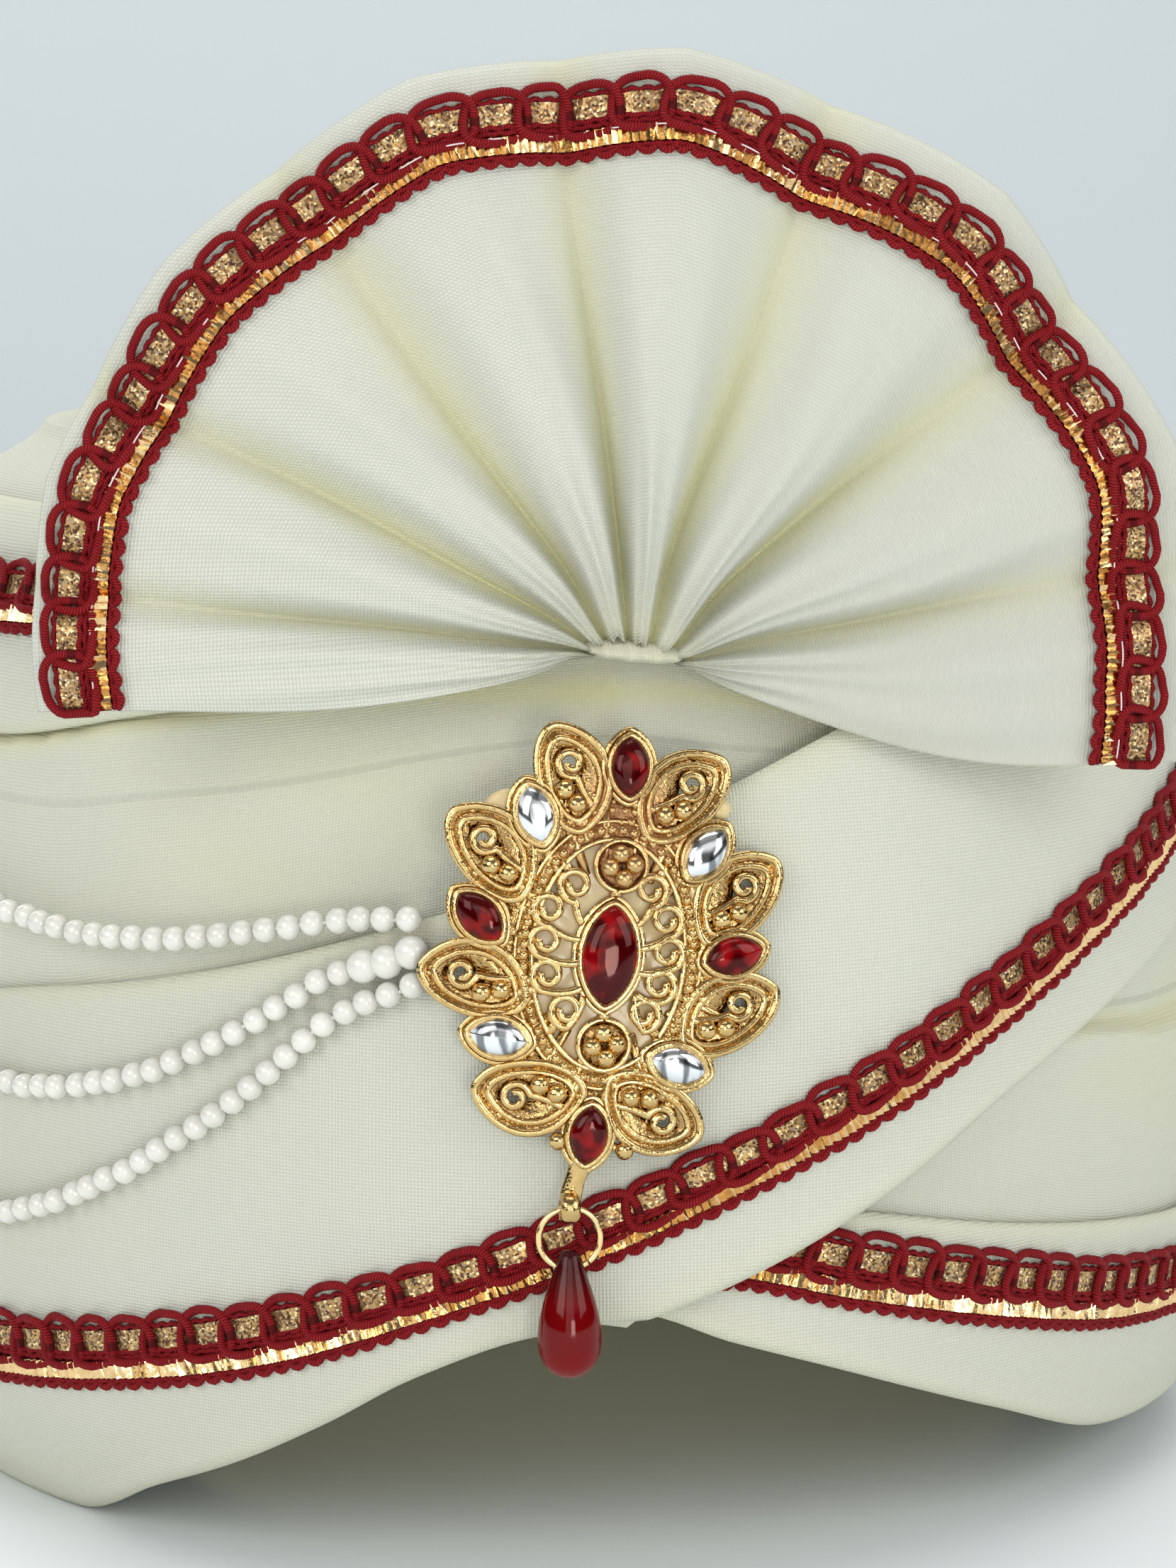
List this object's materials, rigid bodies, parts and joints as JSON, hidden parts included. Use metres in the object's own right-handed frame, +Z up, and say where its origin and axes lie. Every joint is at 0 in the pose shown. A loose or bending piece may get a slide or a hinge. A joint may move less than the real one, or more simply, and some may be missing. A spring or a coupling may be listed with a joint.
{
  "type": "tied turban",
  "caption": "Tied cloth turban with a pleated fan at the front, red and gold lace edging, a jewelled brooch with a red drop, and pearl strings carried round one side.",
  "frame": {"origin": "middle of the whole turban's bounding box, at the foot it rests on", "axes": "+Z up, -Y towards the front with the fan and the brooch, +X to a viewer's right when the front is faced"},
  "size_m": [0.2378, 0.2734, 0.2233],
  "materials": {
    "turban_cloth": "plain-woven ivory cotton, soft low sheen",
    "lining_cloth": "plain-woven ivory cotton, matte",
    "lace": "dark red cord loops and picots with gold glitter ribbon and a gold foil strip",
    "set_glue": "set amber glue, slightly glossy",
    "gold_casting": "bright gold plate over a cast base, darker in the hollows",
    "gold_wire": "bright gold plate",
    "ruby_stone": "polished dark red cabochon with a foiled back",
    "clear_stone": "polished clear cabochon with a mirror back",
    "red_bead": "polished red translucent bead with small bubbles",
    "pearl": "pearl lustre"
  },
  "bodies": {
    "root": {"crown_cap": "lining_cloth", "wound_roll": "turban_cloth", "long_cloth": "turban_cloth", "cloth_lace": "lace", "fan": "turban_cloth", "fan_lace": "lace", "fan_knot": "turban_cloth", "glue_pad": "set_glue", "brooch_frame": "gold_casting", "stone_top": "ruby_stone", "stone_upper_right": "clear_stone", "stone_right": "ruby_stone", "stone_lower_right": "clear_stone", "stone_bottom": "ruby_stone", "stone_lower_left": "clear_stone", "stone_left": "ruby_stone", "stone_upper_left": "clear_stone", "stone_centre": "ruby_stone", "jump_ring": "gold_wire", "red_drop": "red_bead", "pearl_string_upper": "pearl", "pearl_string_middle": "pearl", "pearl_string_lower": "pearl"}
  },
  "joints": []
}
